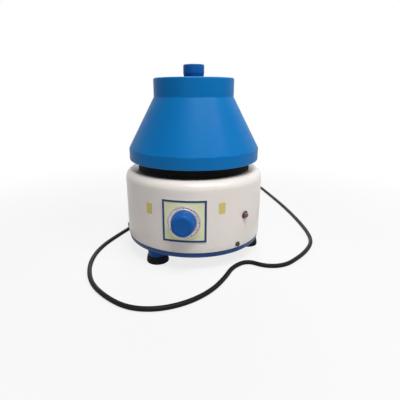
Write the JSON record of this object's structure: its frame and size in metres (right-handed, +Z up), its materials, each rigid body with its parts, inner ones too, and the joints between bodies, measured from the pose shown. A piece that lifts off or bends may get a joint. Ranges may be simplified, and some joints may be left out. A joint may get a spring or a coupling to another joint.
{
  "type": "laboratory centrifuge",
  "caption": "Small round bench centrifuge: white drum on rubber feet, blue conical lid that lifts off, slanted tube seats on a spinning head, front speed knob and mains lead.",
  "frame": {"origin": "on the bench, under the spin axis", "axes": "+Z up along the spin axis, control knob on -Y"},
  "size_m": [0.3261, 0.5711, 0.2625],
  "materials": {
    "drum_white": "light grey-white enamel on sheet steel",
    "lid_blue": "moulded blue plastic",
    "rim_blue": "navy enamel on sheet steel",
    "stem_blue": "moulded navy plastic",
    "knob_blue": "moulded blue plastic",
    "black_rubber": "matt",
    "black_plastic": "moulded",
    "plate_cream": "painted thin plate",
    "bright_metal": "turned and brushed",
    "cast_aluminium": "as cast",
    "steel": "ground",
    "zinc_steel": "zinc plated",
    "core_steel": "stacked sheet",
    "copper_wire": "enamelled copper wire",
    "carbon": "pressed carbon",
    "resin": "brown moulded resin",
    "lamp_red": "dark red lens",
    "cord_grey": "round sheathed lead",
    "pin_brass": "nickel-coloured pins"
  },
  "bodies": {
    "root": {"body_shell": "drum_white", "base_pan": "rim_blue", "shell_screws": "zinc_steel", "front_foot_stem": "stem_blue", "right_foot_stem": "stem_blue", "rear_foot_stem": "stem_blue", "front_rubber_foot": "black_rubber", "right_rubber_foot": "black_rubber", "rear_rubber_foot": "black_rubber", "foot_bolts": "zinc_steel", "chamber_bowl": "cast_aluminium", "mouth_gasket": "black_rubber", "lower_bracket": "cast_aluminium", "upper_bracket": "cast_aluminium", "bearing_cover": "cast_aluminium", "stator_core": "core_steel", "front_field_coil": "copper_wire", "rear_field_coil": "copper_wire", "mount_bushes": "black_rubber", "mount_bolts": "zinc_steel", "tie_bolts": "zinc_steel", "lower_bearing_outer": "steel", "upper_bearing_outer": "steel", "brush_holders": "resin", "carbon_brushes": "carbon", "brush_caps": "resin", "dial_plate": "plate_cream", "dial_ring": "bright_metal", "regulator_base": "resin", "regulator_winding": "copper_wire", "regulator_nut": "zinc_steel", "lamp_bezel": "bright_metal", "lamp_lens": "lamp_red", "lamp_nut": "zinc_steel", "cord_gland": "black_rubber", "gland_nut": "black_plastic", "power_cord": "cord_grey", "cord_coil": "cord_grey", "cord_tie": "black_plastic", "plug_body": "black_plastic", "plug_pins": "pin_brass"},
    "lid": {"lid_shell": "lid_blue", "lid_seat_ring": "black_plastic", "lid_knob": "knob_blue", "lid_knob_screw": "zinc_steel", "lid_knob_washer": "zinc_steel"},
    "rotor": {"motor_shaft": "steel", "armature_core": "core_steel", "armature_winding": "copper_wire", "commutator": "copper_wire", "cooling_fan": "black_plastic", "lower_bearing_inner": "steel", "upper_bearing_inner": "steel", "rotor_head": "bright_metal", "head_washer": "steel", "head_nut": "steel"},
    "knob": {"speed_knob": "knob_blue", "regulator_shaft": "steel", "regulator_wiper": "pin_brass", "knob_set_screw": "steel"}
  },
  "joints": [
    {"name": "lid_lift", "type": "slide", "parent": "root", "child": "lid", "axis": [0, 0, 1], "range_m": [0, 0.18]},
    {"name": "rotor_spin", "type": "hinge", "parent": "root", "child": "rotor", "pos_m": [0, 0, 0.1], "axis": [0, 0, 1], "continuous": true},
    {"name": "speed_knob_turn", "type": "hinge", "parent": "root", "child": "knob", "pos_m": [0, -0.11, 0.0703], "axis": [0, 1, 0], "range_deg": [0, 300]}
  ]
}
